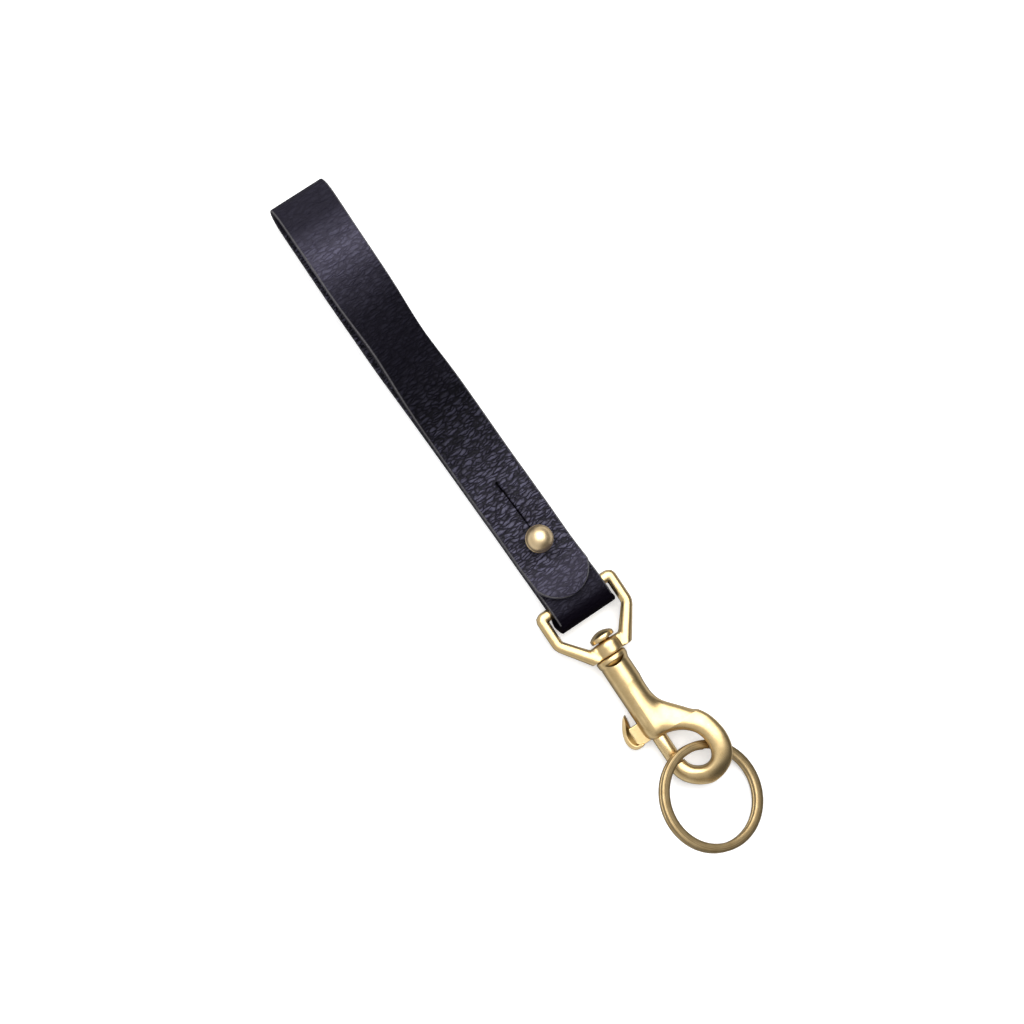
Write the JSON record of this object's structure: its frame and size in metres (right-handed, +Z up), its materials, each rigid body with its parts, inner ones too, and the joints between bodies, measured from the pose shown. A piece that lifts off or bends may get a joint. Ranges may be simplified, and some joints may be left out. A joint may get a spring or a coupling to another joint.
{
  "type": "wristlet keychain",
  "caption": "Leather wrist strap folded into a loop and buttoned on a ball stud, with a swivelling bolt snap and a split key ring.",
  "frame": {"origin": "centre of the bounding box on the surface the keychain lies on", "axes": "+X runs from the wrist loop to the key ring, +Y is the hook side of the snap, +Z points up out of the front of the strap"},
  "size_m": [0.2426, 0.034, 0.016],
  "materials": {
    "leather": "pebbled, semi-matt",
    "cast_brass": "satin",
    "polished_brass": "polished",
    "ring_brass": "aged satin",
    "spring_steel": "drawn wire"
  },
  "bodies": {
    "wrist_strap": {"strap": "leather", "stud_knob": "polished_brass", "stud_screw": "polished_brass"},
    "eye": {"swivel_eye": "cast_brass"},
    "snap": {"snap_body": "cast_brass", "swivel_post": "polished_brass", "bolt_spring": "spring_steel"},
    "slide_bolt": {"bolt": "polished_brass", "thumb_knob": "cast_brass"},
    "ring": {"split_ring": "ring_brass"}
  },
  "joints": [
    {"name": "eye_swing", "type": "hinge", "parent": "wrist_strap", "child": "eye", "pos_m": [0.0297, -0.0006, 0.0052], "axis": [0, -1, 0], "range_deg": [-120, 120]},
    {"name": "snap_swivel", "type": "hinge", "parent": "eye", "child": "snap", "pos_m": [0.05, -0.0006, 0.0052], "axis": [1, 0, 0], "continuous": true},
    {"name": "bolt_slide", "type": "slide", "parent": "snap", "child": "slide_bolt", "axis": [-1, 0, 0], "range_m": [0, 0.0095], "stiffness_N_per_m": 250, "springref_m": -0.004, "deforming": ["bolt_spring"]},
    {"name": "ring_swing", "type": "hinge", "parent": "snap", "child": "ring", "pos_m": [0.09, 0.00375, 0.00661], "axis": [-1, 0, 0], "range_deg": [0, 100]}
  ]
}
